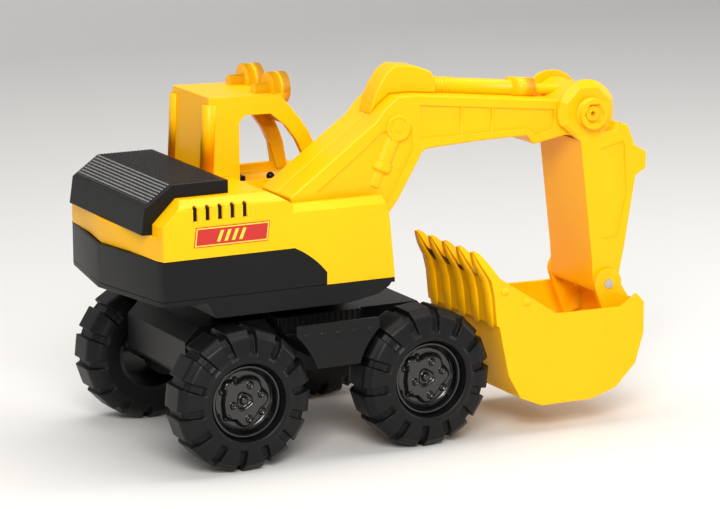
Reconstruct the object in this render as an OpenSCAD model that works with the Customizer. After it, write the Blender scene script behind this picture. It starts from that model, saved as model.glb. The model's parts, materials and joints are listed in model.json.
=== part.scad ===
/* [Overall] */
// Distance between the two axles
wheelbase = 165; // [160:1:170]
// Height of the side panels' lower seam above the ground
seam_z = 139.5; // [138.5:0.5:140]
// Wall of the moulded body panels
wall = 2.4; // [2:0.2:3]

/* [Wheels] */
// Tread radius
tyre_r = 59; // [59:0.5:60]
// Tyre width
tyre_w = 48; // [44:1:50]
// Number of tread lugs
lugs = 14; // [10:1:18]
// Tread groove width
groove_w = 6.6; // [4:0.2:8]
// Tread groove depth
groove_d = 4; // [2:0.5:5]
// Axle radius
axle_r = 4; // [3:0.5:5]
// Running clearance of shafts and pins, radial
run_fit = 0.05; // [0.03:0.01:0.08]

/* [Arm] */
// Boom width
boom_w = 55; // [50:1:58]
// Stick width
stick_w = 72; // [68:1:74]
// Bucket width
bucket_w = 124; // [112:2:126]
// Number of bucket teeth
teeth = 5; // [4:1:6]

/* [Cab] */
// Height of the cab roof's rear edge
roof_z = 286; // [284:1:288]
// Radius of the two roof lamps
lamp_r = 13.5; // [11:0.5:14]

/* [Hidden] */
$fn = 48;

yellow = "#F7CF08";
black = "#1B1B1C";
steel = "#B9BCC0";
red = "#D8322A";

// the slew axis stands this far behind the middle of the whole length
slew_x = -70.3;
// the upper body stands this far from the slew axis and above its first datum
upper = [-4, 0, 4];
eps = 0.1;

axle_x = wheelbase / 2;
axle_z = 59;
wheel_y = 120;
hub_r = 32;
frame_y = 60;
lug_y = 66;
frame_z0 = 64;
deck_z = 112;
pan_x = 66;
pan_y = 50;
pan_t = 5;
ring_top = seam_z - 13.9;
spigot_r = 20;
spigot_z = 103.7;
screw_r = 1.6;
pan_screw_at = [56, 40];

side_y = 97;
front_x = 64.6;
skirt_top = 172.5;
arc_r = 80;
arc_c = [-59.7, 100.3];
arc_a = [65, 38];
well_x = [-42, 80];
well_y = [-86, -24];
well_wall = 2.5;
tray_screw_at = [[-125, -60], [-125, 60], [-114, -80], [-114, 80]];
screw_boss_r = 4.5;

arm_y = -55;
boom_at = [20, 175];
stick_at = [251, 260];
bucket_at = [268, 112];
pin_r = 4;
boom_wall = 2.2;
boom_root_r = 30;
boom_end_r = 22;
stick_wall = 3.4;
cheek_gap = 0.7;
ear_t = 5;
bucket_wall = 3;

module place() translate([slew_x, 0, 0]) children();

module place_upper() place() translate(upper) children();

// a side profile given in x and z, swept over y from y0 to y1
module side(y0, y1) translate([0, y1, 0]) rotate([90, 0, 0]) linear_extrude(y1 - y0) children();

// a round bar along y
module bar(x, z, r, y0, y1) translate([x, y1, z]) rotate([90, 0, 0]) cylinder(r = r, h = y1 - y0);

// points on a circle, angles in degrees from +x
function arc(c, r, a0, a1, n) = [for (i = [0:n]) let (a = a0 + (a1 - a0) * i / n)
  [c[0] + r * cos(a), c[1] + r * sin(a)]];

// plan outline of the upper body, d is how far inside the outer face, back is the rear middle
function plan(d, back) = [
  [front_x - d, -side_y + d], [front_x - d, side_y - d], [-141 + d, side_y - d], [-144 + d, 88 - d],
  [back + 7 + d, 42 - d / 2], [back + d, 0], [back + 7 + d, -42 + d / 2], [-144 + d, -88 + d],
  [-141 + d, -side_y + d]
];

// the line where the black skirt meets the yellow shell, from the rear to the front
function skirt_line() = concat([[-170, skirt_top]], arc(arc_c, arc_r, arc_a[0], arc_a[1], 8),
  [[3, 149.5], [3, seam_z]]);

// ---- chassis ----

module axle_lug(s) {
  for (y = [-1, 1]) {
    side(y > 0 ? frame_y - 12 : -lug_y, y > 0 ? lug_y : -frame_y + 12)
      translate([s * axle_x - 13, axle_z]) square([26, 16]);
    bar(s * axle_x, axle_z, 13, y > 0 ? frame_y - 12 : -lug_y, y > 0 ? lug_y : -frame_y + 12);
  }
}

module chassis_frame() color(black) place() {
  nose = [[-112, 72], [-104, frame_z0], [104, frame_z0], [112, 72], [112, 100], [100, deck_z],
    [-100, deck_z], [-112, 100]];
  difference() {
    union() {
      side(-frame_y, frame_y) polygon(nose);
      axle_lug(1);
      axle_lug(-1);
      translate([0, 0, deck_z]) difference() {
        cylinder(r = 56, h = ring_top - deck_z, $fn = 96);
        cylinder(r = 50, h = 50, $fn = 96);
      }
    }
    difference() {
      translate([-pan_x - 2, -frame_y + 6, frame_z0 - 1]) cube([2 * pan_x + 4, 2 * frame_y - 12, 41]);
      pan_ledge();
      for (x = [-1, 1], y = [-1, 1])
        translate([x * pan_screw_at[0], y * pan_screw_at[1], frame_z0 + pan_t]) cylinder(r = 5, h = 60);
    }
    translate([-pan_x, -pan_y, frame_z0 - eps]) cube([2 * pan_x, 2 * pan_y, pan_t + eps]);
    for (s = [-1, 1]) {
      for (y = [-45, -14.5, 16]) translate([s * 90 - 16, y, frame_z0 - 1]) cube([32, 29, 42]);
      bar(s * axle_x, axle_z, axle_r + run_fit, -lug_y - 1, lug_y + 1);
    }
    cylinder(r = spigot_r + run_fit, h = 300, $fn = 96);
    for (x = [-1, 1], y = [-1, 1])
      translate([x * pan_screw_at[0], y * pan_screw_at[1], frame_z0]) cylinder(r = screw_r, h = 24);
  }
}

module pan_ledge() {
  difference() {
    translate([-pan_x - 2, -frame_y + 6, frame_z0 - 2]) cube([2 * pan_x + 4, 2 * frame_y - 12, pan_t + 5]);
    translate([-pan_x + 4, -pan_y + 4, 0]) cube([2 * pan_x - 8, 2 * pan_y - 8, 100]);
  }
}

module chassis_pan() color(black) place() difference() {
  translate([-pan_x, -pan_y, frame_z0]) cube([2 * pan_x, 2 * pan_y, pan_t]);
  for (x = [-1, 1], y = [-1, 1]) translate([x * pan_screw_at[0], y * pan_screw_at[1], 0]) {
    cylinder(r = 3.4, h = frame_z0 + 2.5);
    cylinder(r = screw_r, h = 100);
  }
}

module pan_screws() color(steel) place() for (x = [-1, 1], y = [-1, 1])
  translate([x * pan_screw_at[0], y * pan_screw_at[1], frame_z0]) {
    translate([0, 0, 0.5]) cylinder(r = 3.2, h = 2);
    translate([0, 0, 2]) cylinder(r = screw_r, h = 18);
  }

module step_plate() {
  difference() {
    union() {
      side(-115, -111) polygon([[-36.2, 116], [36.2, 116], [37.7, 114.5], [37.7, 79], [-37.7, 79],
        [-37.7, 114.5]]);
      translate([-31, -111, 96]) cube([62, 31, 4]);
      translate([-31, -111, 88]) cube([62, 51, 8]);
      side(-80, -60) polygon([[-33, 96], [33, 96], [38.5, 110], [38.5, 116.3], [-38.5, 116.3], [-38.5, 110]]);
      for (i = [-7:7]) translate([i * 5.1 - 1.1, -82, 104]) cube([2.2, 2.5, 12.3]);
      for (i = [-2:2]) translate([i * 14.4, -115, 106.5]) rotate([90, 0, 0]) cylinder(r1 = 3, r2 = 1.8, h = 1.4);
    }
    for (s = [-1, 1]) bar(s * axle_x, axle_z, tyre_r + 7, -130, 0);
  }
}

module step_plate_right() color(black) place() step_plate();

module step_plate_left() color(black) place() mirror([0, 1, 0]) step_plate();

// ---- wheels ----

module axle(s) bar(s * axle_x, axle_z, axle_r, -104, 104);

module spun(s) translate([s * axle_x, 0, axle_z]) rotate([90, 0, 0]) rotate_extrude($fn = 96) children();

// half section of the hub: radius against distance from the middle of the vehicle
module hub_section() polygon([[axle_r, 66.5], [8, 66.5], [9, 72], [hub_r, 73], [hub_r, 112],
  [29.8, 114], [27.8, 114], [26.8, 106.5], [21, 105.5], [19, 109.5], [0, 110.5], [0, 104], [axle_r, 104]]);

module hub_hollow() polygon([[9, 60], [29, 60], [29, 102], [9, 102]]);

module tyre_section() difference() {
  in = wheel_y - tyre_w;
  polygon([[hub_r, in + 1], [38, in], [50, in], [56, in + 4], [tyre_r, in + 12], [tyre_r, 109], [56.5, 113],
    [52.5, 116], [41, 118], [36, wheel_y], [33.5, wheel_y], [hub_r, 117]]);
  polygon([[34.5, in - 5], [34.5, 112], [50, 108], [tyre_r - 5.5, 102], [tyre_r - 5.5, in + 12], [49, in - 5]]);
}

module tyre(s) difference() {
  spun(s) tyre_section();
  for (i = [0:lugs - 1]) translate([s * axle_x, 0, axle_z]) rotate([0, i * 360 / lugs + 90 / lugs, 0])
    translate([-groove_w / 2, -wheel_y - 1, tyre_r - groove_d]) cube([groove_w, tyre_w + 2, 20]);
}

module hub(s) {
  spun(s) difference() {
    hub_section();
    hub_hollow();
  }
  for (a = [30:60:330]) translate([s * axle_x, 0, axle_z]) rotate([0, a, 0])
    translate([0, -109, 15]) rotate([90, 0, 0]) cylinder(r = 2.8, h = 2.8);
}

module front_axle() color(steel) place() axle(1);

module rear_axle() color(steel) place() axle(-1);

module front_right_hub() color(black) place() hub(1);

module front_left_hub() color(black) place() mirror([0, 1, 0]) hub(1);

module front_right_tyre() color(black) place() tyre(1);

module front_left_tyre() color(black) place() mirror([0, 1, 0]) tyre(1);

module rear_right_hub() color(black) place() hub(-1);

module rear_left_hub() color(black) place() mirror([0, 1, 0]) hub(-1);

module rear_right_tyre() color(black) place() tyre(-1);

module rear_left_tyre() color(black) place() mirror([0, 1, 0]) tyre(-1);

// ---- upper body ----

module slew_tray() color(black) place_upper() {
  low = seam_z - 17.3;
  difference() {
    union() {
      difference() {
        translate([0, 0, seam_z - 4]) linear_extrude(4) polygon(plan(0, -158.4));
        translate([0, 0, seam_z - 5]) linear_extrude(3) difference() {
          polygon(plan(4, -158.4));
          for (p = tray_screw_at) translate([p[0], p[1]]) circle(6);
        }
      }
      side(-side_y, side_y) polygon([[-104, seam_z - 2], [-96, low], [21.9, low], [49.7, seam_z - 12.5],
        [59.7, seam_z - 6.5], [63, seam_z - 2]]);
      translate([0, 0, spigot_z] - upper) cylinder(r = spigot_r, h = 26, $fn = 96);
    }
    difference() {
      side(-side_y + wall, side_y - wall) polygon([[-99, seam_z - 2], [-93, low + wall], [20, low + wall],
        [46, seam_z - 9], [56, seam_z - 4], [56, seam_z - 2]]);
      translate([-upper[0], 0, 0]) cylinder(r = spigot_r + 3, h = 300);
    }
    translate([0, 0, spigot_z - 1] - upper) cylinder(r = screw_r, h = 20);
    for (p = tray_screw_at) translate([p[0], p[1], 0]) cylinder(r = screw_r, h = 200);
  }
}

module slew_retainer() color(black) place() difference() {
  translate([0, 0, spigot_z - 3]) cylinder(r = 27, h = 3);
  cylinder(r = screw_r, h = 200);
}

module slew_screw() color(steel) place() {
  translate([0, 0, spigot_z - 5.4]) cylinder(r = 5, h = 2.4);
  translate([0, 0, spigot_z - 4]) cylinder(r = screw_r, h = 19);
}

module tray_screws() color(steel) place_upper() for (p = tray_screw_at) translate([p[0], p[1], seam_z - 4]) {
  translate([0, 0, -1.8]) cylinder(r = 3.2, h = 1.8);
  translate([0, 0, -1]) cylinder(r = screw_r, h = 14);
}

module counterweight_skirt() color(black) place_upper() difference() {
  intersection() {
    translate([0, 0, seam_z]) linear_extrude(40) polygon(plan(0, -158.4));
    side(-side_y, side_y) polygon(concat([[-170, seam_z]], skirt_line()));
  }
  translate([0, 0, seam_z - 1]) linear_extrude(60) polygon(plan(wall, -158.4));
}

module shell_profile(d) polygon(concat(
  [[-170, skirt_top - (d > 0 ? 60 : 0)], [-170, 191.5 - d], [-142 + d, 191.5 - d], [-142 + d, 200],
    [-122, 219.5 - d], [-45, 219.5 - d], [-38, 216 - d], [-25, 208 - d], [55.7 - d, 208 - d],
    [60.1 - d, 192], [front_x - d, 142.6]],
  d > 0 ? [[front_x - d, seam_z - 1], [-170, seam_z - 1]] :
    concat([[front_x, seam_z], [3, seam_z], [3, 149.5]], arc(arc_c, arc_r, arc_a[1], arc_a[0], 8))));

module shell_solid(d) intersection() {
  side(-side_y + d, side_y - d) shell_profile(d);
  translate([0, 0, 100]) linear_extrude(200) polygon(plan(d, -155));
}

// keeps the inside of the shell clear of the chamfered shoulders
module shell_inside() intersection() {
  shell_solid(wall);
  translate([-170, 0, 0]) rotate([90, 0, 90]) linear_extrude(260) polygon([[-side_y, 100], [-side_y, 196.6],
    [-89, 204.6], [-89, 211.5], [-76, 219], [76, 219], [89, 211.5], [89, 204.6], [side_y, 196.6], [side_y, 100]]);
}

module shoulder_cuts() for (m = [0, 1]) mirror([0, m, 0]) {
  translate([-27, 0, 0]) rotate([90, 0, 90]) linear_extrude(140)
    polygon([[side_y + 1, 201], [side_y + 1, 209], [90, 209]]);
  translate([-170, 0, 0]) rotate([90, 0, 90]) linear_extrude(200)
    polygon([[side_y + 1, 211.5], [side_y + 1, 222], [80, 222], [90, 217.5], [94.5, 215]]);
}

module vent(i) translate([-113 + i * 10.9, 0, 203]) for (m = [0, 1]) mirror([0, m, 0]) {
  translate([-2.1, -side_y - 1, 0]) cube([4.2, 12, 10.4]);
  bar(0, 10.4, 2.1, -side_y - 1, -side_y + 11);
}

module body_shell() color(yellow) place_upper() {
  difference() {
    shell_solid(0);
    difference() {
      shell_inside();
      translate([well_x[0] - well_wall, well_y[0] - well_wall, 0])
        cube([well_x[1], well_y[1] - well_y[0] + 2 * well_wall, 300]);
      translate([-54.5, -8.5, 192.5]) cube([97, 67, 20]);
      for (p = tray_screw_at) translate([p[0], p[1], 0]) cylinder(r = screw_boss_r, h = 300);
    }
    translate([well_x[0], well_y[0], 0]) cube([well_x[1] - well_x[0], well_y[1] - well_y[0], 300]);
    translate([-52, -6, 195]) cube([92, 62, 40]);
    shoulder_cuts();
    for (i = [0:4]) vent(i);
    bar(boom_at[0], boom_at[1], pin_r, well_y[0] - 5, well_y[1] + 5);
  }
  // legs that the tray screws bite into
  for (p = tray_screw_at) translate([p[0], p[1], seam_z]) difference() {
    cylinder(r = screw_boss_r, h = skirt_top - seam_z + 1);
    translate([0, 0, -1]) cylinder(r = screw_r, h = 14);
  }
}

module cover_profile(d) polygon([[-151.3 + d, 191.5 - 2 * d], [-148 + d, 214.3 - d / 3], [-125, 230.5 - d],
  [-75 - d, 230.5 - d], [-75 - d, 219.5 - 2 * d], [-122, 219.5 - 2 * d], [-142, 200 - 2 * d], [-142, 191.5 - 2 * d]]);

module engine_cover() color(black) place_upper() difference() {
  side(-77, 77) cover_profile(0);
  side(-75, 75) cover_profile(2);
}

// outline of a cab side, front edge bowed
module cab_side(d) polygon(concat([[-66 + d, 208], [-62 + d, roof_z - d], [2, roof_z - 2 - d], [11 - d, 273.5]],
  [[20.5 - d, 262], [28 - d, 251], [33 - d, 240], [36 - d, 231], [40 - d, 208]]));

module cab_window() polygon([[-35, 213.5], [-35, 263], [-29.5, 269], [-6, 268.5], [8, 256.5], [17.3, 244],
  [23.4, 231], [26, 213.5]]);

module cab_shell() color(yellow) place_upper() {
  difference() {
    union() {
      difference() {
        side(-12, 62) cab_side(0);
        side(-8, 58) polygon([[-62, 200], [-58, roof_z - 4], [0, roof_z - 6], [9, 273.5], [18, 262], [25, 251],
          [60, 240], [60, 200]]);
      }
      for (y = [-8, 58]) {
        translate([-64, y, 208]) rotate([0, 3.2, 0]) cylinder(r = 6, h = roof_z - 214);
        side(y - 3, y + 3) polygon([[20.5, 262], [28, 251], [33, 240], [36, 231], [40, 208], [30, 208], [23.4, 231],
          [17.3, 244], [8, 256.5]]);
      }
      for (y = [1, 51]) translate([-3, y, roof_z + 1.5]) rotate([0, 90, 0]) {
        cylinder(r = lamp_r, h = 15);
        translate([0, 0, -13]) cylinder(r = 5, h = 14);
      }
    }
    side(-20, 70) cab_window();
    translate([0, 0, 198]) cube([300, 300, 20], center = true);
    side(-20, 70) polygon([[-80, 190], [-80, 219.5], [-45, 219.5], [-38, 216], [-25, 208], [-25, 190]]);
    translate([-3, -8, 262]) cube([15, 66, 14]);
  }
}

module cab_floor() color(black) place_upper() {
  translate([-51.5, -5.5, 195]) cube([91, 61, 2.5]);
  translate([-46, 10, 197.5]) cube([26, 32, 16]);
  translate([-46, 10, 213.5]) cube([7, 32, 24]);
}

module control_lever() color(black) place_upper() {
  translate([0, 4, 197.5]) cylinder(r = 2, h = 16);
  translate([0, 4, 213]) sphere(r = 3.4);
}

module label(y0) side(y0, y0 + 0.5) polygon([[-115, 181.8], [-113, 198], [-48, 198], [-50, 181.8]]);

module side_label_right() color(red) place_upper() label(-side_y - 0.5);

module side_label_left() color(red) place_upper() label(side_y);

module boom_pin() color(steel) place_upper() bar(boom_at[0], boom_at[1], pin_r, well_y[0] - 5, well_y[1] + 5);

// ---- boom ----

function boom_outline() = concat(
  arc(boom_at, boom_root_r, -60, -180, 8),
  [[-23, 211], [8.8, 234], [43.8, 258.7], [54.7, 266], [63.8, 276.8], [75.9, 286.1], [95, 286], [226.4, 271]],
  arc(stick_at, boom_end_r, 90, -90, 10),
  [[233.2, 240.6], [203.5, 235.4], [195.8, 243.4], [152, 242.9], [114.6, 241.3], [102.5, 240.5],
    [98.9, 238.8], [75.7, 200.2], [67.5, 190.5]]);

module panel_rear() difference() {
  polygon([[12, 196], [2, 214], [46, 246], [60, 258], [88, 262], [90, 242], [70, 204], [60, 190], [36, 186]]);
  translate([75.8, 260.6]) circle(11);
}

module panel_front() difference() {
  polygon([[98, 249.5], [96, 277.5], [222, 263.6], [222, 248], [204, 243.5], [197, 250]]);
  for (x = [134, 163]) translate([x, 240]) square([1.6, 50]);
}

module boom_half(y0, y1) {
  difference() {
    side(y0, y1) polygon(boom_outline());
    difference() {
      side(y0 < arm_y ? y0 + 2 * boom_wall : y0 - 1, y0 < arm_y ? y1 + 1 : y1 - 2 * boom_wall)
        offset(delta = -boom_wall) polygon(boom_outline());
      bar(boom_at[0], boom_at[1], 9, y0, y1);
      bar(stick_at[0], stick_at[1], 9, y0, y1);
      bar(75.8, 260.6, 5, y0, y1);
      bar(178, 257, 5, y0, y1);
      bar(36, 222, 5, y0, y1);
    }
    side(y0 < arm_y ? y0 - 1 : y1 - 2, y0 < arm_y ? y0 + 2 : y1 + 1) {
      panel_rear();
      panel_front();
    }
    bar(boom_at[0], boom_at[1], pin_r + run_fit, -200, 100);
    bar(stick_at[0], stick_at[1], pin_r + run_fit, -200, 100);
    bar(75.8, 260.6, screw_r, arm_y - 21, arm_y + 21);
    bar(178, 257, screw_r, arm_y - 21, arm_y + 21);
    bar(36, 222, screw_r, arm_y - 21, arm_y + 21);
  }
}

module boom_right_half() color(yellow) place_upper() {
  boom_half(arm_y - boom_w / 2, arm_y);
}

module boom_left_half() color(yellow) place_upper() {
  boom_half(arm_y, arm_y + boom_w / 2);
}

module boom_screws() color(steel) place_upper() for (p = [[75.8, 260.6], [178, 257], [36, 222]])
  bar(p[0], p[1], screw_r, arm_y - 19, arm_y + 19);

module ram_barrel() color(yellow) place_upper() {
  difference() {
    union() {
      side(arm_y - 11, arm_y + 11) polygon([[58, 270], [61.5, 283], [67, 294], [74, 304], [82, 309.5], [90, 308.5],
        [101, 307.3], [115, 302], [119, 294.7], [119, 283.4], [95, 286.1], [75.9, 286.2], [63.8, 276.9]]);
      translate([112, arm_y, 289.5]) rotate([0, 96.5, 0]) cylinder(r = 7, h = 84);
      translate([193, arm_y, 280.4]) rotate([0, 96.5, 0]) cylinder(r = 9.4, h = 22);
    }
    side(arm_y - 40, arm_y + 40) polygon(boom_outline());
    translate([200, arm_y, 279.6]) rotate([0, 96.5, 0]) cylinder(r = 4.5, h = 30);
  }
}

module ram_rod() color(yellow) place_upper() difference() {
  translate([200, arm_y, 279.6]) rotate([0, 96.5, 0]) cylinder(r = 4.5, h = 46);
  side(arm_y - 40, arm_y + 40) polygon(boom_outline());
}

// ---- stick ----

function stick_outline() = concat(
  arc(stick_at, 27, 200, -20, 14),
  [[289, 246], [296, 228], [307, 222], [307, 208], [297, 202], [293, 180], [286, 140]],
  arc(bucket_at, 12, 0, -170, 8),
  [[254.9, 133.4], [243.4, 236]]);

// what is cut off around the drum so that its outer face slopes back in flats
module drum_rim() difference() {
  side(-stick_w / 2 - 1, -stick_w / 2 + 6) intersection() {
    translate([220, 242]) square([62, 60]);
    circle(400);
  }
  translate([stick_at[0], -stick_w / 2 + 6, stick_at[1]]) rotate([90, 0, 0]) rotate(22.5)
    cylinder(r1 = 29.5, r2 = 21, h = 7.1, $fn = 8);
}

module stick_hollow() polygon([[248, 229], [259, 133], [258, 90], [277, 90], [281, 140], [288, 180],
  [291, 229]]);

module stick_shell() color(yellow) place_upper() {
  y0 = arm_y - stick_w / 2;
  y1 = arm_y + stick_w / 2;
  gap = boom_w / 2 + cheek_gap;
  difference() {
    union() {
      difference() {
        side(y0, y1) polygon(stick_outline());
        for (m = [0, 1]) translate([0, arm_y, 0]) mirror([0, m, 0]) drum_rim();
      }
      bar(stick_at[0], stick_at[1], 13, y0 - 10, y0 + 1);
      bar(stick_at[0], stick_at[1], 13, y1 - 1, y1 + 10);
    }
    // room for the end of the boom and its ram between the cheeks
    side(arm_y - gap, arm_y + gap) polygon([[200, 234.8], [247, 236.5], stick_at, [274.2, 260], [274.2, 300], [200, 300]]);
    bar(stick_at[0], stick_at[1], boom_end_r + 1.2, arm_y - gap, arm_y + gap);
    // two hollows below it, open at the lower end, with a rib between
    side(arm_y - stick_w / 2 + stick_wall, arm_y - 1.5) stick_hollow();
    side(arm_y + 1.5, arm_y + stick_w / 2 - stick_wall) stick_hollow();
    side(y0 - 1, y0 + 1.5) polygon([[262, 228], [285.7, 233], [288.7, 189], [280, 150], [266, 150]]);
    side(y1 - 1.5, y1 + 1) polygon([[262, 228], [285.7, 233], [288.7, 189], [280, 150], [266, 150]]);
    bar(stick_at[0], stick_at[1], pin_r, -200, 100);
    for (y = [y0 - 11, y1 + 5]) translate([stick_at[0], y + 6, stick_at[1]]) rotate([90, 0, 0])
      cylinder(r = 9.5, h = 6, $fn = 6);
    bar(bucket_at[0], bucket_at[1], pin_r, -200, 100);
  }
}

module stick_pin() color(yellow) place_upper() difference() {
  union() {
    bar(stick_at[0], stick_at[1], pin_r, arm_y - stick_w / 2 - 7, arm_y + stick_w / 2 + 7);
    bar(stick_at[0], stick_at[1], 6.5, arm_y - stick_w / 2 - 7, arm_y - stick_w / 2 - 5);
    bar(stick_at[0], stick_at[1], 6.5, arm_y + stick_w / 2 + 5, arm_y + stick_w / 2 + 7);
  }
  bar(stick_at[0], stick_at[1], 2, arm_y - stick_w, arm_y - stick_w / 2 + 5);
  bar(stick_at[0], stick_at[1], 2, arm_y + stick_w / 2 - 5, arm_y + stick_w);
}

// ---- bucket ----

function bucket_out() = [[147, 136], [151.7, 90.8], [160.4, 48.8], [172, 28], [192, 19.5], [240, 19.5],
  [264, 27], [283, 46], [291, 72], [291, 98]];

function bucket_in() = [[288, 98], [288, 73], [280.4, 47.8], [262.4, 29.8], [239.6, 22.5], [192.6, 22.5],
  [174, 30.4], [163.2, 50], [154.7, 91.4], [150.2, 134]];

// side view of the toothed lip
module tooth() polygon([[131.5, 154.8], [134.5, 155.6], [138, 153], [152, 133], [155.5, 120], [153.6, 92],
  [149.5, 92], [147, 118], [144, 131], [137, 143]]);

// front view of one tooth, wide at its root and round at its tip
module tooth_leaf(w) polygon([[-w / 2, 91], [-w / 2, 132], [-w / 2 + 2, 141], [-w / 4, 150], [-w / 8, 154.5],
  [0, 155.8], [w / 8, 154.5], [w / 4, 150], [w / 2 - 2, 141], [w / 2, 132], [w / 2, 91]]);

module bucket_ear(y) side(y, y + ear_t) polygon(concat(arc(bucket_at, 13, 200, -10, 10),
  [[288.5, 98], [288.5, 74], [270, 70]]));

module bucket_shell() color(yellow) place_upper() {
  y0 = arm_y - bucket_w / 2;
  y1 = arm_y + bucket_w / 2;
  difference() {
    union() {
      side(y0, y1) polygon(concat(bucket_out(), bucket_in()));
      for (y = [y0, y1 - bucket_wall]) side(y, y + bucket_wall)
        polygon(concat(bucket_out(), [[284, 106], [268, 96], [206, 97], [183, 112]]));
      intersection() {
        side(y0, y1) tooth();
        for (i = [0:teeth - 1]) translate([100, y0 + bucket_w * (i + 0.5) / teeth, 0]) rotate([90, 0, 90])
          linear_extrude(100) tooth_leaf(bucket_w / teeth + eps);
      }
      bucket_ear(arm_y - stick_w / 2 - ear_t - 0.5);
      bucket_ear(arm_y + stick_w / 2 + 0.5);
    }
    bar(bucket_at[0], bucket_at[1], pin_r + run_fit, -200, 100);
  }
}

module bucket_pin() color(steel) place_upper() bar(bucket_at[0], bucket_at[1], pin_r,
  arm_y - stick_w / 2 - ear_t - 1.5, arm_y + stick_w / 2 + ear_t + 1.5);

chassis_frame();
chassis_pan();
pan_screws();
step_plate_right();
step_plate_left();
front_axle();
front_right_hub();
front_left_hub();
front_right_tyre();
front_left_tyre();
rear_axle();
rear_right_hub();
rear_left_hub();
rear_right_tyre();
rear_left_tyre();
slew_tray();
slew_retainer();
slew_screw();
tray_screws();
counterweight_skirt();
body_shell();
engine_cover();
cab_shell();
cab_floor();
control_lever();
side_label_right();
side_label_left();
boom_pin();
boom_right_half();
boom_left_half();
boom_screws();
ram_barrel();
ram_rod();
stick_shell();
stick_pin();
bucket_shell();
bucket_pin();
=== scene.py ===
import bpy, bmesh, json, math
import numpy as np
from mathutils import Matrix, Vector
from mathutils.bvhtree import BVHTree

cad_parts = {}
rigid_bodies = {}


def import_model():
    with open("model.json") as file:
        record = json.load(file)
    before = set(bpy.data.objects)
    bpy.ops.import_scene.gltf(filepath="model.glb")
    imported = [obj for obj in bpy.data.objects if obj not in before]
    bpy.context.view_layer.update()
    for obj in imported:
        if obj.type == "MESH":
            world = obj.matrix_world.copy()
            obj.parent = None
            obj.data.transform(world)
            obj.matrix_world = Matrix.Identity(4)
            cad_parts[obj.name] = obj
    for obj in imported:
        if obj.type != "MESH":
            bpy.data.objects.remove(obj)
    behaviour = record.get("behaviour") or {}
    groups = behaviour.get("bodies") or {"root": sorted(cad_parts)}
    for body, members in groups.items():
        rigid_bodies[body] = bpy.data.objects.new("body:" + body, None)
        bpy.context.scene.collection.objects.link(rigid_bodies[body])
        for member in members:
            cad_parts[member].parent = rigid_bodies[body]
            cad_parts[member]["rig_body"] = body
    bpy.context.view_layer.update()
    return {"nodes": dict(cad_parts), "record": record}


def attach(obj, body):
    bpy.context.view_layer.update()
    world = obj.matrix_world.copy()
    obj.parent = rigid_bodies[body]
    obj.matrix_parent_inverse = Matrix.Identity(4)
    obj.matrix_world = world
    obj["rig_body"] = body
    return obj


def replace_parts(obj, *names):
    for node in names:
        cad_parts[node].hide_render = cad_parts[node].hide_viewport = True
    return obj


# toy wheeled excavator: treaded wheels, shells with rolled edges, moulded relief, labels, pale studio
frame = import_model()
nodes = frame["nodes"]
mm = 0.001
chassisAt = (-70.3, 0.0, 0.0)  # where the chassis drawing's zero stands, the slew axis on the ground
upperAt = (-74.3, 0.0, 4.0)  # the same for everything above the turntable
bpy.context.scene.view_settings.view_transform = "Standard"
print("frame loaded:", len(nodes), "pieces")


def fromHex(code):
    # sRGB hex to linear light
    c = [int(code[i:i + 2], 16) / 255 for i in (1, 3, 5)]
    return tuple(x / 12.92 if x <= 0.04045 else ((x + 0.055) / 1.055) ** 2.4 for x in c) + (1.0,)


def addNode(mat, kind, links=(), **settings):
    # one node: plain settings by attribute, inputs by socket name, links as (socket, source socket)
    n = mat.node_tree.nodes.new(kind)
    for key, value in settings.items():
        if hasattr(n, key):
            setattr(n, key, value)
        else:
            n.inputs[key.replace("_", " ")].default_value = value
    for socket, source in links:
        mat.node_tree.links.new(source, n.inputs[socket])
    return n


def newMaterial(name):
    mat = bpy.data.materials.new(name)
    mat.use_nodes = True
    mat.node_tree.nodes.clear()
    return mat


def finishMaterial(mat, shader):
    out = addNode(mat, "ShaderNodeOutputMaterial")
    mat.node_tree.links.new(shader.outputs[0], out.inputs["Surface"])
    return mat


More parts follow.
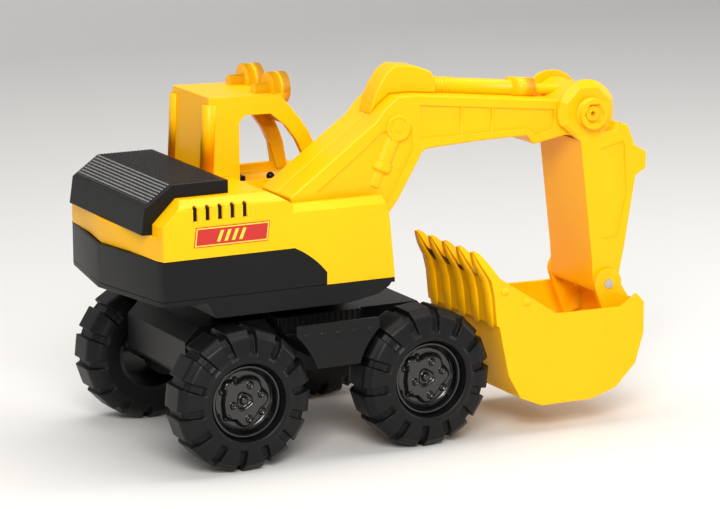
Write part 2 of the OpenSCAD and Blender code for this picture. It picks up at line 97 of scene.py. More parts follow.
def mouldedPlastic(name, look):
    # injection moulded plastic: fine spark grain, faint flow clouds in its colour and shallow sink waviness,
    # which break up its highlights
    mat = newMaterial(name)
    at = addNode(mat, "ShaderNodeTexCoord").outputs["Object"]
    cloud = addNode(mat, "ShaderNodeTexNoise", [("Vector", at)], Scale=look["cloudScale"],
                    Detail=3.0)
    tint = addNode(mat, "ShaderNodeValToRGB", [("Fac", cloud.outputs["Fac"])])
    tint.color_ramp.elements[0].position = 0.3
    tint.color_ramp.elements[0].color = fromHex(look["darker"])
    tint.color_ramp.elements[1].position = 0.7
    tint.color_ramp.elements[1].color = fromHex(look["colour"])
    grain = addNode(mat, "ShaderNodeTexNoise", [("Vector", at)], Scale=look["grainScale"],
                    Detail=2.0)
    wave = addNode(mat, "ShaderNodeTexNoise", [("Vector", at)], Scale=moulding["sinkScale"], Detail=1.0)
    rough = addNode(mat, "ShaderNodeMapRange", [("Value", grain.outputs["Fac"])])
    rough.inputs["To Min"].default_value = look["rough"] - moulding["roughLess"]
    rough.inputs["To Max"].default_value = look["rough"] + moulding["roughMore"]
    sink = addNode(mat, "ShaderNodeBump", [("Height", wave.outputs["Fac"])], Strength=0.25,
                   Distance=look["sink"])
    skin = addNode(mat, "ShaderNodeBump", [("Height", grain.outputs["Fac"]), ("Normal", sink.outputs[0])],
                   Strength=look["grain"], Distance=moulding["grainDepth"])
    shader = addNode(mat, "ShaderNodeBsdfPrincipled",
                     [("Base Color", tint.outputs["Color"]), ("Roughness", rough.outputs["Result"]),
                      ("Normal", skin.outputs[0])], IOR=moulding["ior"])
    shader.inputs["Specular IOR Level"].default_value = look.get("shine", 0.5)
    shader.inputs["Subsurface Weight"].default_value = look.get("glow", 0.0)
    shader.inputs["Subsurface Radius"].default_value = (1.0, 0.45, 0.08)
    shader.inputs["Subsurface Scale"].default_value = look.get("glowDepth", moulding["glowDepth"])
    shader.inputs["Coat Weight"].default_value = look.get("coat", 0.0)
    shader.inputs["Coat Roughness"].default_value = moulding["coatRoughness"]
    return finishMaterial(mat, shader)


# what all the mouldings share; scales are features in a metre, depths are metres
moulding = {"ior": 1.51, "sinkScale": 28.0, "grainDepth": 0.00008, "roughLess": 0.05, "roughMore": 0.06,
            "glowDepth": 0.002, "coatRoughness": 0.12}
plasticLooks = {
    # yellow polyethylene, a little light gets under its skin and comes out orange
    "yellowPolyethylene": {"colour": "#FFBD00", "darker": "#FFB600", "shine": 0.22, "cloudScale": 9.0,
                           "grainScale": 2600.0, "rough": 0.36, "grain": 0.25, "sink": 0.0012, "glow": 0.18,
                           "glowDepth": 0.004},
    # black polypropylene with a fine satin texture
    "blackPolypropylene": {"colour": "#0C0C0D", "darker": "#09090A", "shine": 0.22, "cloudScale": 14.0,
                           "grainScale": 2200.0, "rough": 0.40, "grain": 0.35, "sink": 0.0008},
    # glossier black moulding of the engine cover's waffle tread, so each stud catches a light
    "glossyTreadPolypropylene": {"colour": "#0C0C0D", "darker": "#09090A", "cloudScale": 14.0,
                                 "grainScale": 2200.0, "rough": 0.26, "grain": 0.2, "sink": 0.0004,
                                 "shine": 0.5},
    # polished black styrene of the wheel hubs, with sharp bright highlights
    "polishedBlackStyrene": {"colour": "#0C0C0D", "darker": "#09090A", "cloudScale": 20.0, "grainScale": 900.0,
                             "rough": 0.16, "grain": 0.05, "sink": 0.0006, "coat": 0.4},
    # soft black polyethylene of the tyres, duller than the frame
    "softBlackTyrePlastic": {"colour": "#0E0E0F", "darker": "#0A0A0B", "shine": 0.22, "cloudScale": 30.0,
                             "grainScale": 1500.0, "rough": 0.44, "grain": 0.4, "sink": 0.0008},
    # red printed film of the label, with a slight varnish
    "redPrintedFilm": {"colour": "#BE1A10", "darker": "#B6160D", "cloudScale": 40.0, "grainScale": 3000.0,
                       "rough": 0.30, "grain": 0.05, "sink": 0.0002, "coat": 0.2},
    # pale yellow ink of the label's border and stripes
    "paleYellowPrint": {"colour": "#F0CE3C", "darker": "#ECC830", "cloudScale": 40.0, "grainScale": 3000.0,
                        "rough": 0.32, "grain": 0.05, "sink": 0.0002},
}
plastic = {name: mouldedPlastic(name, look) for name, look in plasticLooks.items()}
yellow = plastic["yellowPolyethylene"]
black = plastic["blackPolypropylene"]
glossBlack = plastic["polishedBlackStyrene"]
tyreBlack = plastic["softBlackTyrePlastic"]


def zincSteel():
    # zinc plated axles, pins and screws: bright metal, its fine pitting blurs the highlights a little
    mat = newMaterial("zincPlatedSteel")
    at = addNode(mat, "ShaderNodeTexCoord").outputs["Object"]
    pits = addNode(mat, "ShaderNodeTexNoise", [("Vector", at)], Scale=900.0, Detail=4.0)
    rough = addNode(mat, "ShaderNodeMapRange", [("Value", pits.outputs["Fac"])])
    rough.inputs["To Min"].default_value = 0.2
    rough.inputs["To Max"].default_value = 0.4
    bump = addNode(mat, "ShaderNodeBump", [("Height", pits.outputs["Fac"])], Strength=0.2, Distance=0.00005)
    shader = addNode(mat, "ShaderNodeBsdfPrincipled",
                     [("Roughness", rough.outputs["Result"]), ("Normal", bump.outputs[0])], Metallic=1.0)
    shader.inputs["Base Color"].default_value = fromHex("#C9CBCC")
    return finishMaterial(mat, shader)


steel = zincSteel()
slotMaterial = {"yellow_plastic": yellow, "black_plastic": black, "gloss_black_plastic": glossBlack,
                "tyre_plastic": tyreBlack, "steel": steel, "label": plastic["redPrintedFilm"]}
for part in frame["record"]["subparts"]:
    mesh = nodes[part["node"]].data
    mesh.materials.clear()
    mesh.materials.append(slotMaterial[part["material_slot"]])
print("materials made:", len(bpy.data.materials))


def newPiece(name, verts, faces, mat, body):
    # an object from points in metres and index lists, riding on its body
    mesh = bpy.data.meshes.new(name)
    mesh.from_pydata(verts.tolist(), [], faces)
    mesh.update()
    mesh.materials.append(mat)
    piece = bpy.data.objects.new(name, mesh)
    bpy.context.scene.collection.objects.link(piece)
    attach(piece, body)
    return piece


def placed(x, y, z, at=upperAt):
    # points in metres from drawing millimetres and the place of the drawing's zero
    x, y, z = np.broadcast_arrays(x, y, z)
    return (np.stack([x, y, z], -1) + np.array(at)) * mm


def outward(piece, smoothAngle):
    # weld, turn faces outwards, and shade smooth with sharp edges above the angle
    bm = bmesh.new()
    bm.from_mesh(piece.data)
    bmesh.ops.remove_doubles(bm, verts=bm.verts, dist=2e-6)
    bmesh.ops.recalc_face_normals(bm, faces=bm.faces)
    for f in bm.faces:
        f.smooth = True
    for e in bm.edges:
        e.smooth = len(e.link_faces) != 2 or e.calc_face_angle(0) < math.radians(smoothAngle)
    bm.to_mesh(piece.data)
    bm.free()
    return piece


def gridFaces(rows, cols, closedRows=False, closedCols=False):
    # quads of a rows x cols grid of points, as index rows
    i = np.arange(rows if closedRows else rows - 1)[:, None]
    j = np.arange(cols if closedCols else cols - 1)[None, :]
    a = i * cols + j
    b = i * cols + (j + 1) % cols
    c = ((i + 1) % rows) * cols + (j + 1) % cols
    d = ((i + 1) % rows) * cols + j
    return np.stack([a, b, c, d], -1).reshape(-1, 4).tolist()


def softStep(x):
    # one well below zero, nothing well above it, with a smooth fall between
    return 1 / (1 + np.exp(np.clip(x, -30, 30)))


def edgeRoom(face, edge):
    # how far the face reaches away from the line through the edge
    start, run = edge.verts[0].co, (edge.verts[1].co - edge.verts[0].co).normalized()
    return max(((v.co - start) - run * (v.co - start).dot(run)).length for v in face.verts)


def roundedCopy(node, width):
    # a welded copy of a CAD piece, its flat faces joined; each edge is rolled over to the given radius
    # or to less than half of the narrower face beside it, and short edges round holes stay crisp
    source = nodes[node]
    mesh = source.data.copy()
    piece = bpy.data.objects.new(node + "_moulded", mesh)
    bpy.context.scene.collection.objects.link(piece)
    bm = bmesh.new()
    bm.from_mesh(mesh)
    bmesh.ops.remove_doubles(bm, verts=bm.verts, dist=edgeRule["weld"])
    bmesh.ops.dissolve_limit(bm, angle_limit=math.radians(edgeRule["flat"]), verts=bm.verts, edges=bm.edges)
    weight = bm.edges.layers.float.new("bevel_weight_edge")
    for e in bm.edges:
        if len(e.link_faces) != 2 or e.calc_length() < edgeRule["shortest"]:
            continue
        if e.is_convex and e.calc_face_angle(0) > math.radians(edgeRule["angle"]):
            room = min(edgeRoom(f, e) for f in e.link_faces) * edgeRule["share"]
            e[weight] = min(1.0, room / width)
    for f in bm.faces:
        f.smooth = True
    skin = BVHTree.FromBMesh(bm)
    bm.to_mesh(mesh)
    bm.free()
    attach(piece, source["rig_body"])
    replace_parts(piece, node)
    bevel = piece.modifiers.new("rolledEdges", "BEVEL")
    bevel.width = width
    bevel.segments = 4
    bevel.limit_method = "WEIGHT"
    bevel.use_clamp_overlap = False
    while bevel.width > edgeRule["least"] and not followsSkin(piece, skin, bevel.width):
        bevel.width *= edgeRule["shrink"]
    normals = piece.modifiers.new("evenShading", "WEIGHTED_NORMAL")
    normals.keep_sharp = False
    normals.weight = 80
    print("rolled", node, round(bevel.width / mm, 2), "mm")
    return piece


def followsSkin(piece, skin, width):
    # true when the rolled surface stays close to the flat one everywhere and no face is turned over
    solid = piece.evaluated_get(bpy.context.evaluated_depsgraph_get())
    mesh = solid.to_mesh()
    far, turned = 0.0, 0.0
    for v in mesh.vertices:
        far = max(far, skin.find_nearest(v.co)[3])
    for f in mesh.polygons:
        near = skin.find_nearest(f.center)[1]
        if f.normal.dot(near) < edgeRule["turnedOver"]:
            turned += f.area
    solid.to_mesh_clear()
    return far < edgeRule["stray"] * width + edgeRule["slack"] and turned < edgeRule["turnedArea"]


# lengths in metres, angles in degrees; share is the part of a face that one rolled edge may take, stray the
# part of its radius that it may leave the flat skin by, and turnedOver the cosine that counts as upside down
edgeRule = {"shortest": 1.4 * mm, "angle": 24, "share": 0.4, "least": 0.4 * mm, "weld": 5e-6, "flat": 1.0,
            "shrink": 0.75, "stray": 0.5, "slack": 0.1 * mm, "turnedOver": -0.3, "turnedArea": 2e-6}
# millimetres; an edge or an end is how softly the groove's walls and its blunt end fall away
tyreShape = {"radius": 59.0, "lugs": 14, "grooveWidth": 6.6, "grooveDepth": 4.2, "grooveEdge": 0.14,
             "outerEnd": 41.0, "outerEndEdge": 0.9, "innerEnd": 47.0, "innerEndEdge": 1.2, "innerHalf": 95.0,
             "flat": 0.8, "shoulder": 50.0, "bead": 32.2, "beadFrom": 73.0, "beadTo": 117.0,
             "firstGroove": math.radians(6.43), "samples": 58,
             "middle": (96.0, 45.0)}
# axle places of the chassis drawing: along the toy, height
axles = {"front": (82.5, 59.0), "rear": (-82.5, 59.0)}
# the tyre's cross section from bead to bead: distance from the middle of the toy, radius
tyreKnots = np.array([(117, 32.2), (119.2, 32.6), (120, 34), (119.9, 36.5), (119, 39), (118.2, 42), (117.6, 47),
                      (116.4, 52), (115.6, 53.2), (113.5, 55), (110.4, 58.2), (108.5, 59), (102, 59), (96, 59),
                      (90, 59), (85, 58.9), (82.5, 58.2), (78.5, 55.6), (76, 53.4), (74.2, 51.6), (72.8, 48),
                      (72, 44), (72, 38), (73, 32.2)], float)
# sampling across one groove, closer together at its walls
grooveSamples = np.array([0, 1.2, 2.2, 2.7, 3.0, 3.3, 3.6, 3.9, 4.3, 4.7, 5.2, 6.0, 7.5, 10.0])


def tyreSection():
    # even points along the cross section that keep its corners
    step = np.r_[0, np.cumsum(np.hypot(*np.diff(tyreKnots, axis=0).T))]
    t = np.unique(np.r_[np.linspace(0, step[-1], tyreShape["samples"]), step])
    return np.stack([np.interp(t, step, tyreKnots[:, 0]), np.interp(t, step, tyreKnots[:, 1])], -1)


def sectionNormal(section):
    # unit normals of the section, turned away from its middle
    slope = np.gradient(section, axis=0)
    normal = np.stack([-slope[:, 1], slope[:, 0]], -1)
    normal /= np.linalg.norm(normal, axis=1)[:, None]
    y, r = tyreShape["middle"]
    away = normal[:, 1] * (section[:, 1] - r) + normal[:, 0] * (section[:, 0] - y)
    return normal * np.where(away > 0, 1, -1)[:, None]


def makeTyre(name, axle, side):
    # surface: angle around the axle x place along the section; the section is pushed in by the groove depth
    # where the angle falls in a groove, and each lug's top is flattened by a small parabola
    s = tyreShape
    section = tyreSection()
    pitch = 2 * math.pi * s["radius"] / s["lugs"]
    local = np.r_[-grooveSamples[:0:-1], grooveSamples, pitch / 2]
    u = (local[None, :] + pitch * np.arange(s["lugs"])[:, None]).ravel()
    near = np.abs((u + pitch / 2) % pitch - pitch / 2)
    y, r = section[:, 0], section[:, 1]
    across = near[:, None] * r[None, :] / s["radius"] - s["grooveWidth"] / 2
    along = np.where(y < s["innerHalf"], (r - s["innerEnd"]) / s["innerEndEdge"],
                     (r - s["outerEnd"]) / s["outerEndEdge"])
    normal = sectionNormal(section)
    depth = s["grooveDepth"] * softStep(across / s["grooveEdge"]) * softStep(-along)[None, :]
    middle = 1 - (near - s["grooveWidth"] / 2) / (pitch / 2 - s["grooveWidth"] / 2)
    flat = s["flat"] * (1 - np.clip(middle, 0, 1) ** 2)
    crown = np.clip((r - s["shoulder"]) / (s["radius"] - s["shoulder"]), 0, 1)
    rr = r[None, :] - depth * normal[None, :, 1] - flat[:, None] * crown[None, :]
    yy = y[None, :] - depth * normal[None, :, 0]
    seat = np.linspace(s["beadFrom"], s["beadTo"], 6)[1:-1]  # closes the section along the rim
    rr = np.concatenate([rr, np.full((len(u), len(seat)), s["bead"])], 1)
    yy = np.concatenate([yy, np.repeat(seat[None, :], len(u), 0)], 1)
    turn = u / s["radius"] + s["firstGroove"]
    x = axles[axle][0] + rr * np.sin(turn)[:, None]
    z = axles[axle][1] + rr * np.cos(turn)[:, None]
    pts = placed(x, side * yy, z, chassisAt)
    faces = gridFaces(len(u), pts.shape[1], True, True)
    return outward(newPiece(name, pts.reshape(-1, 3), faces, tyreBlack, axle + "_wheels"), 50)


hubShape = {"plateau": 4.6, "plateauRadius": 19.3, "plateauEdge": 0.45, "well": 2.6, "wellRadius": 6.5,
            "wellEdge": 0.5, "wellLobe": 0.8, "knob": 3.4, "knobRadius": 3.2, "knobEdge": 0.35,
            "boltRadius": 2.7, "boltRise": 2.0, "boltEdge": 0.22, "socket": 1.2, "socketRadius": 1.2,
            "socketEdge": 0.2, "steps": 240}
# cosines that shape the plateau's edge: size, count round the hub, phase in radians
plateauLobes = [(1.8, 5, 0.6), (1.2, 3, -1.1), (0.7, 8, 0.0)]
hubBolts = [(-7.1, 16.7), (5.0, 12.2), (-18.0, 8.7), (14.5, 4.0), (-10.0, -3.0), (3.5, -15.5), (-15.0, -13.0),
            (17.0, -11.5)]
# the dish's height at each radius, and the hollow back as radius and height
dishRadii = [0, 22, 24, 26, 27.2, 27.8, 28.2, 29.5, 29.9, 30.3, 32]
dishHeights = [105.5, 105.5, 106, 108, 112.6, 113.7, 114, 114, 113.6, 112.2, 112]
hubBack = np.array([(32.0, 73.0), (29.0, 73.0), (29.0, 102.0), (9.0, 102.0), (9.0, 72.0), (8.0, 66.5),
                    (4.0, 66.5)])


def makeHub(name, axle, side):
    # surface: angle x radius; the height is a dish with a raised rim ring, plus a plateau whose edge is a
    # sum of cosines, less a three-lobed well round a centre knob, plus round bolts with sockets
    h = hubShape
    ang = np.linspace(0, 2 * math.pi, h["steps"], endpoint=False)
    rad = np.r_[0.05, np.linspace(0.6, 26, 56), 26.6, 27.1, 27.6, 28.0, 28.8, 29.4, 29.8, 30.2, 31, 32]
    a, r = ang[:, None], rad[None, :]
    lobes = h["plateauRadius"]
    for size, count, phase in plateauLobes:
        lobes = lobes + size * np.cos(count * a + phase)
    height = np.interp(rad, dishRadii, dishHeights)[None, :]
    height = height + h["plateau"] * softStep((r - lobes) / h["plateauEdge"])
    height = height - h["well"] * softStep((r - h["wellRadius"] - h["wellLobe"] * np.cos(3 * a)) / h["wellEdge"])
    height = height + h["knob"] * softStep((r - h["knobRadius"]) / h["knobEdge"])
    for bx, bz in hubBolts:
        d = np.hypot(r * np.cos(a) - bx, r * np.sin(a) - bz)
        height = height + h["boltRise"] * softStep((d - h["boltRadius"]) / h["boltEdge"])
        height = height - h["socket"] * softStep((d - h["socketRadius"]) / h["socketEdge"])
    backRadius, backAt = (np.repeat(column[None, :], len(ang), 0) for column in hubBack.T)
    rr = np.concatenate([np.repeat(r, len(ang), 0), backRadius], 1)
    yy = np.concatenate([height, backAt], 1)
    pts = placed(axles[axle][0] + rr * np.cos(a), side * yy, axles[axle][1] + rr * np.sin(a), chassisAt)
    cols = rr.shape[1]
    faces = gridFaces(len(ang), cols, True, False)
    faces += [[k * cols for k in range(len(ang))], [k * cols + cols - 1 for k in range(len(ang))]]
    piece = newPiece(name, pts.reshape(-1, 3), faces, glossBlack, axle + "_wheels")
    return outward(piece, 40)


for axle in ("front", "rear"):
    for sideName, side in (("right", -1), ("left", 1)):
        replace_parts(makeTyre(f"{axle}_{sideName}_tyre_treaded", axle, side), f"{axle}_{sideName}_tyre")
        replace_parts(makeHub(f"{axle}_{sideName}_hub_dished", axle, side), f"{axle}_{sideName}_hub")
print("wheels made")


# radius of each shell's free edges, millimetres
shellEdges = {"chassis_frame": 1.8, "step_plate_right": 0.7, "step_plate_left": 0.7, "slew_tray": 1.0,
              "counterweight_skirt": 0.8, "body_shell": 2.0, "cab_shell": 2.2, "boom_right_half": 4.0,
              "boom_left_half": 4.0, "ram_barrel": 3.0, "stick_shell": 4.0, "bucket_shell": 2.0,
              "engine_cover": 1.2, "cab_floor": 0.8}
for node, width in shellEdges.items():
    roundedCopy(node, width * mm)
print("shells rounded:", len(shellEdges))


def lathe(name, profile, centre, axis, mat, body, steps=64, angle=35):
    # a profile of (distance along the axis, radius) turned about an axis through the centre
    axis = Vector(axis).normalized()
    across = axis.orthogonal().normalized()
    other = axis.cross(across)
    turn = np.linspace(0, 2 * math.pi, steps, endpoint=False)
    along, radius = np.array(profile, float).T
    ring = np.cos(turn)[:, None, None] * np.array(across) + np.sin(turn)[:, None, None] * np.array(other)
    pts = np.array(centre) + along[None, :, None] * np.array(axis) + radius[None, :, None] * ring
    pts = placed(pts[..., 0], pts[..., 1], pts[..., 2])
    cols = len(profile)
    faces = gridFaces(steps, cols, True, False)
    faces += [[k * cols for k in range(steps)], [k * cols + cols - 1 for k in range(steps)]]
    return outward(newPiece(name, pts.reshape(-1, 3), faces, mat, body), angle)


# millimetres; the relief runs from the boss down to its end, its axis sunk below the recessed panel
arm = {"y": -55.0, "half": 27.5, "panel": 2.0, "boss": (75.8, 260.6), "reliefEnd": (54.0, 212.0), "sunk": 5.2}
# (distance, radius): the barrel and its collar, and the boss with its ring and centre
barrelProfile = [(6, 0.01), (6, 9.0), (30, 9.0), (31, 10.6), (37, 10.6), (38.5, 9.4), (39, 6.8)]
bossProfile = [(-1, 0.01), (-1, 11.2), (3.2, 11.2), (4.0, 10.4), (4.0, 8.2), (3.2, 7.4), (3.2, 3.8), (3.8, 3.2),
               (4.0, 0.01)]


def boomRelief(name, side):
    # a moulded ram half sunk in the boom's side: round boss, barrel, collar and a narrower rod
    face = arm["y"] + side * (arm["half"] - arm["panel"])
    (x0, z0), (x1, z1) = arm["boss"], arm["reliefEnd"]
    run = math.hypot(x1 - x0, z1 - z0)
    profile = barrelProfile + [(run - 1.5, 6.8), (run, 5.6), (run, 0.01)]
    lathe(name + "_ram", profile, (x0, face - side * arm["sunk"], z0), (x1 - x0, 0, z1 - z0), yellow, "boom",
          48, 30)
    lathe(name + "_boss", bossProfile, (x0, face, z0), (0, side, 0), yellow, "boom", 64, 40)


boomRelief("boom_relief_right", -1)
boomRelief("boom_relief_left", 1)

ramShape = {"start": (112.0, 289.5), "tilt": 6.5, "radius": 7.0, "ribs": 5, "firstRib": 11.0, "ribPitch": 3.6}
# one rib's section: distance along the barrel, height over its skin
ribBead = [(-0.9, -0.4), (-0.6, 0.3), (0, 0.55), (0.6, 0.3), (0.9, -0.4)]


def ramRibs():
    # shallow rings round the rear of the barrel
    r = ramShape
    tilt = math.radians(r["tilt"])
    bead = [(along, r["radius"] + rise) for along, rise in ribBead]
    for i in range(r["ribs"]):
        d = r["firstRib"] + i * r["ribPitch"]
        at = (r["start"][0] + d * math.cos(tilt), arm["y"], r["start"][1] - d * math.sin(tilt))
        lathe(f"ram_rib_{i + 1}", bead, at, (math.cos(tilt), 0, -math.sin(tilt)), yellow, "boom",
              48, 60)


ramRibs()

bucketShape = {"width": 124.0, "teeth": 5, "ridgeSteps": 40, "ridgeSides": 28}
# the outer face of the toothed lip from tip to crease, with the ridge's half width and height along it
ridgePath = np.array([(132.3, 153.6, 0.6, 0.3), (133.6, 150.6, 2.4, 1.2), (137, 143, 4.6, 2.2),
                      (144, 131, 6.4, 2.7), (147, 118, 6.8, 2.6), (148.5, 104, 6.8, 2.2), (149.6, 93, 6.2, 1.2),
                      (150, 89, 4.0, 0.3)])
# small domes on the bucket's sides, and their section as height and radius
bumpPlaces = [(156.7, 121.0), (177.3, 110.0)]
bumpProfile = [(-0.5, 0.01), (-0.5, 3.6), (0.3, 3.5), (1.2, 2.8), (1.8, 1.6), (2.0, 0.01)]


def toothRidges():
    # surface: place along the lip x angle round an ellipse whose centre lies on the lip's outer face
    b = bucketShape
    run = np.r_[0, np.cumsum(np.hypot(*np.diff(ridgePath[:, :2], axis=0).T))]
    fine = np.linspace(0, run[-1], b["ridgeSteps"])
    x, z, wide, high = (np.interp(fine, run, column)[:, None] for column in ridgePath.T)
    dx, dz = np.gradient(x[:, 0]), np.gradient(z[:, 0])
    size = np.hypot(dx, dz)
    nx, nz = (dz / size)[:, None], (-dx / size)[:, None]
    n = b["ridgeSides"]
    turn = np.linspace(0, 2 * math.pi, n, endpoint=False)[None, :]
    out = high * np.sin(turn)
    for i in range(b["teeth"]):
        y = arm["y"] + (i - (b["teeth"] - 1) / 2) * b["width"] / b["teeth"] + wide * np.cos(turn)
        pts = placed(x + nx * out, y, z + nz * out).reshape(-1, 3)
        faces = gridFaces(len(fine), n, False, True)
        faces += [list(range(n)), list(range(n * (len(fine) - 1), n * len(fine)))]
        outward(newPiece(f"tooth_ridge_{i + 1}", pts, faces, yellow, "bucket"), 60)


toothRidges()
for k, (x, z) in enumerate(bumpPlaces):
    for sideName, side in (("right", -1), ("left", 1)):
        at = (x, arm["y"] + side * bucketShape["width"] / 2, z)
        lathe(f"bucket_bump_{sideName}_{k + 1}", bumpProfile, at, (0, side, 0), yellow, "bucket",
              32, 50)
print("boom relief and bucket ridges made")


def slab(name, outline, y0, y1, mat, body):
    # a flat plate: an outline in side view between two depths
    n = len(outline)
    x, z = np.array(outline, float).T
    pts = np.concatenate([placed(x, y0, z), placed(x, y1, z)])
    faces = [[k, (k + 1) % n, n + (k + 1) % n, n + k] for k in range(n)]
    faces += [list(range(n)), list(range(2 * n - 1, n - 1, -1))]
    return outward(newPiece(name, pts, faces, mat, body), 30)


# millimetres, but the stripes' places are shares of the label's length and height
labelShape = {"foot": 181.8, "top": 198.0, "left": -115.0, "right": -50.0, "lean": 2.0, "face": 97.5,
              "sunk": 0.05, "ink": 0.08, "margin": 0.6, "border": 1.0, "stripes": 4, "firstStripe": 0.3,
              "stripePitch": 0.1, "stripeWide": 0.045, "stripeLean": 0.04, "stripeFoot": 0.22,
              "stripeTop": 0.78}


def labelPoint(u, v):
    # a point of the label's parallelogram from its shares along and up
    s = labelShape
    return (s["left"] + u * (s["right"] - s["left"]) + v * s["lean"], s["foot"] + v * (s["top"] - s["foot"]))


def labelPrint(name, side):
    # pale border strips and slanted stripes printed on the red film
    s = labelShape
    wide, tall = s["right"] - s["left"], s["top"] - s["foot"]
    a, b = s["margin"] / wide, s["margin"] / tall
    c, d = a + s["border"] / wide, b + s["border"] / tall
    shapes = {"foot": ((a, b), (1 - a, b), (1 - a, d), (a, d)),
              "top": ((a, 1 - d), (1 - a, 1 - d), (1 - a, 1 - b), (a, 1 - b)),
              "left": ((a, d), (c, d), (c, 1 - d), (a, 1 - d)),
              "right": ((1 - c, d), (1 - a, d), (1 - a, 1 - d), (1 - c, 1 - d))}
    for k in range(s["stripes"]):
        u, lean, width = s["firstStripe"] + k * s["stripePitch"], s["stripeLean"], s["stripeWide"]
        shapes[f"stripe_{k + 1}"] = ((u, s["stripeFoot"]), (u + width, s["stripeFoot"]),
                                     (u + width + lean, s["stripeTop"]), (u + lean, s["stripeTop"]))
    for key, shape in shapes.items():
        slab(f"{name}_{key}", [labelPoint(*corner) for corner in shape], side * (s["face"] - s["sunk"]),
             side * (s["face"] + s["ink"]), plastic["paleYellowPrint"], "upper_body")


labelPrint("label_print_right", -1)
labelPrint("label_print_left", 1)
print("labels printed")

# millimetres; the slope's normal is along the toy and up, and the rim turns down below the cover's skin
tread = {"pitch": 3.0, "rise": 0.9, "border": 3.0, "samples": 6, "half": 77.0, "sharp": 1.3,
         "slopeNormal": (-0.576, 0.818), "rim": -0.3}
treadPath = np.array([(-148.0, 214.3), (-125, 230.5), (-75, 230.5)])


def coverTread():
    # a grid over the cover's top and rear slope; each stud's height is the lower of two cosines, cut flat
    run = np.r_[0, np.cumsum(np.hypot(*np.diff(treadPath, axis=0).T))]
    step = tread["pitch"] / tread["samples"]
    t = np.unique(np.r_[np.arange(tread["border"], run[-1] - tread["border"], step), run[1]])
    edge = tread["half"] - tread["border"]
    y = np.arange(-edge, edge + 0.01, step)
    px, pz = np.interp(t, run, treadPath[:, 0]), np.interp(t, run, treadPath[:, 1])
    nx = np.where(t < run[1], tread["slopeNormal"][0], 0.0)
    nz = np.where(t < run[1], tread["slopeNormal"][1], 1.0)
    low = np.minimum(np.cos(2 * math.pi * t / tread["pitch"])[:, None],
                     np.cos(2 * math.pi * y / tread["pitch"])[None, :])
    h = np.clip(0.5 + tread["sharp"] * low, 0.05, 1) * tread["rise"]
    h[[0, -1]] = h[:, [0, -1]] = tread["rim"]
    pts = placed(px[:, None] + nx[:, None] * h, y[None, :], pz[:, None] + nz[:, None] * h)
    outward(newPiece("engine_cover_tread", pts.reshape(-1, 3), gridFaces(len(t), len(y)),
                     plastic["glossyTreadPolypropylene"], "upper_body"), 35)


# black plates in the depth of the vent slots: painted shade that makes the slots read dark
ventShadePlate = {"outline": [(-117, 201), (-66, 201), (-66, 213.5), (-117, 213.5)], "inner": 92.5, "outer": 94.2}
for sideName, side in (("right", -1), ("left", 1)):
    slab("vent_painted_shade_" + sideName, ventShadePlate["outline"], side * ventShadePlate["inner"], side * ventShadePlate["outer"],
         black, "upper_body")
coverTread()
print("vents and cover tread made")


# metres
floorShape = {"half": 4.0, "front": -4.5, "bendFrom": 2.0, "bend": 1.2, "top": 4.0, "colour": "#D9D8D5"}


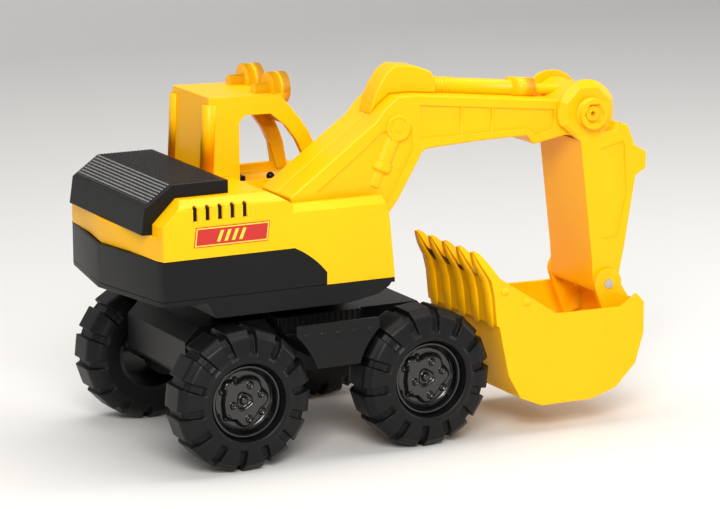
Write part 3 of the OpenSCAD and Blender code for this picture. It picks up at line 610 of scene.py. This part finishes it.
def makeStage():
    # pale floor that curves up in a quarter circle into a wall far behind the toy
    f = floorShape
    x = np.linspace(-f["half"], f["half"], 9)
    bend = np.radians(np.linspace(0, 90, 13))
    py = np.r_[f["front"], f["bendFrom"] + f["bend"] * np.sin(bend), f["bendFrom"] + f["bend"]]
    pz = np.r_[0, f["bend"] - f["bend"] * np.cos(bend), f["top"]]
    pts = np.stack(np.broadcast_arrays(x[:, None], py[None, :], pz[None, :]), -1)
    mesh = bpy.data.meshes.new("paleFloor")
    mesh.from_pydata(pts.reshape(-1, 3).tolist(), [], gridFaces(len(x), len(py)))
    for p in mesh.polygons:
        p.use_smooth = True
    mat = newMaterial("matPaper")
    at = addNode(mat, "ShaderNodeTexCoord").outputs["Object"]
    fibre = addNode(mat, "ShaderNodeTexNoise", [("Vector", at)], Scale=300.0, Detail=3.0)
    bump = addNode(mat, "ShaderNodeBump", [("Height", fibre.outputs["Fac"])], Strength=0.05, Distance=0.0005)
    shader = addNode(mat, "ShaderNodeBsdfPrincipled", [("Normal", bump.outputs[0])], Roughness=0.85)
    shader.inputs["Base Color"].default_value = fromHex(floorShape["colour"])
    finishMaterial(mat, shader)
    mesh.materials.append(mat)
    floor = bpy.data.objects.new("paleFloor", mesh)
    bpy.context.scene.collection.objects.link(floor)


def areaLight(name, place, aim, size, power, colour):
    # a rectangular soft box that faces its aim
    data = bpy.data.lights.new(name, "AREA")
    data.shape = "RECTANGLE"
    data.size, data.size_y = size
    data.energy = power
    data.color = colour
    lamp = bpy.data.objects.new(name, data)
    lamp.location = place
    lamp.rotation_euler = (Vector(aim) - Vector(place)).to_track_quat("-Z", "Y").to_euler()
    bpy.context.scene.collection.objects.link(lamp)


# place, aim, size, power in watts, colour
studio = {
    "keyLight": ((-0.9, -1.9, 1.5), (0, 0, 0.15), (1.2, 1.0), 56, (1.0, 0.97, 0.93)),
    "topLight": ((0.1, 0.2, 2.0), (0, 0, 0.1), (1.6, 1.2), 26, (1.0, 0.98, 0.96)),
    "rimLight": ((1.8, -0.4, 0.9), (0, 0, 0.15), (0.8, 1.2), 14, (0.96, 0.98, 1.0)),
}
room = {"colour": (0.95, 0.96, 1.0, 1), "strength": 0.45}
makeStage()
for name, setting in studio.items():
    areaLight(name, *setting)
world = bpy.data.worlds.new("softRoom")
bpy.context.scene.world = world
world.use_nodes = True
world.node_tree.nodes["Background"].inputs["Color"].default_value = room["colour"]
world.node_tree.nodes["Background"].inputs["Strength"].default_value = room["strength"]

# focal length in millimetres on a full frame, place in metres, turn in degrees
cameraSet = {"lens": 177.46, "place": (-1.3020, -2.6308, 0.7758), "turn": (77.832, 0.4005, -26.534)}
camData = bpy.data.cameras.new("camera")
camData.lens = cameraSet["lens"]
camData.sensor_width = 36
camera = bpy.data.objects.new("camera", camData)
camera.location = cameraSet["place"]
camera.rotation_euler = [math.radians(v) for v in cameraSet["turn"]]
bpy.context.scene.collection.objects.link(camera)
bpy.context.scene.camera = camera
bpy.context.view_layer.update()
print("studio set up")
